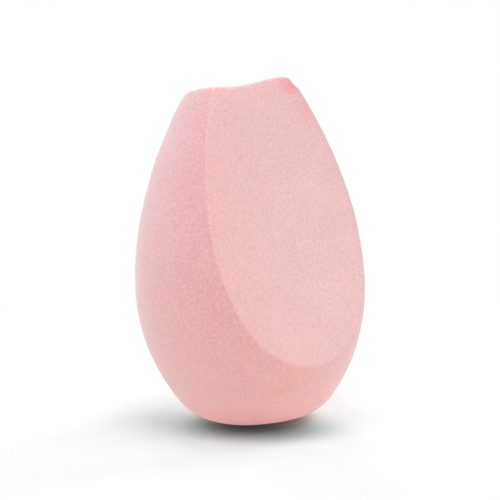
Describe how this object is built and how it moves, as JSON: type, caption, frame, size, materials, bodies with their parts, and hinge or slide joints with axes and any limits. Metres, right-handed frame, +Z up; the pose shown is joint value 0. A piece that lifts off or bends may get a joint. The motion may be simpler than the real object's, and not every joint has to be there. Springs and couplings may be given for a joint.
{
  "type": "makeup sponge",
  "caption": "Soft foam makeup sponge, egg-shaped and tapering, with a long flat bevel down its front and a short cut across its tip, standing on a small flat foot.",
  "frame": {"origin": "centre of the flat foot that the sponge stands on, on the axis of its round blank", "axes": "+Z up from the foot to the cut tip, -Y to the front that the bevel faces, X from side to side across the bevel, with the mirror plane at X = 0"},
  "size_m": [0.04, 0.038, 0.06],
  "materials": {
    "foam": "matt, fine open-cell polyurethane foam, dyed light pink through its whole thickness"
  },
  "bodies": {
    "root": {"foam_body": "foam"}
  },
  "joints": []
}
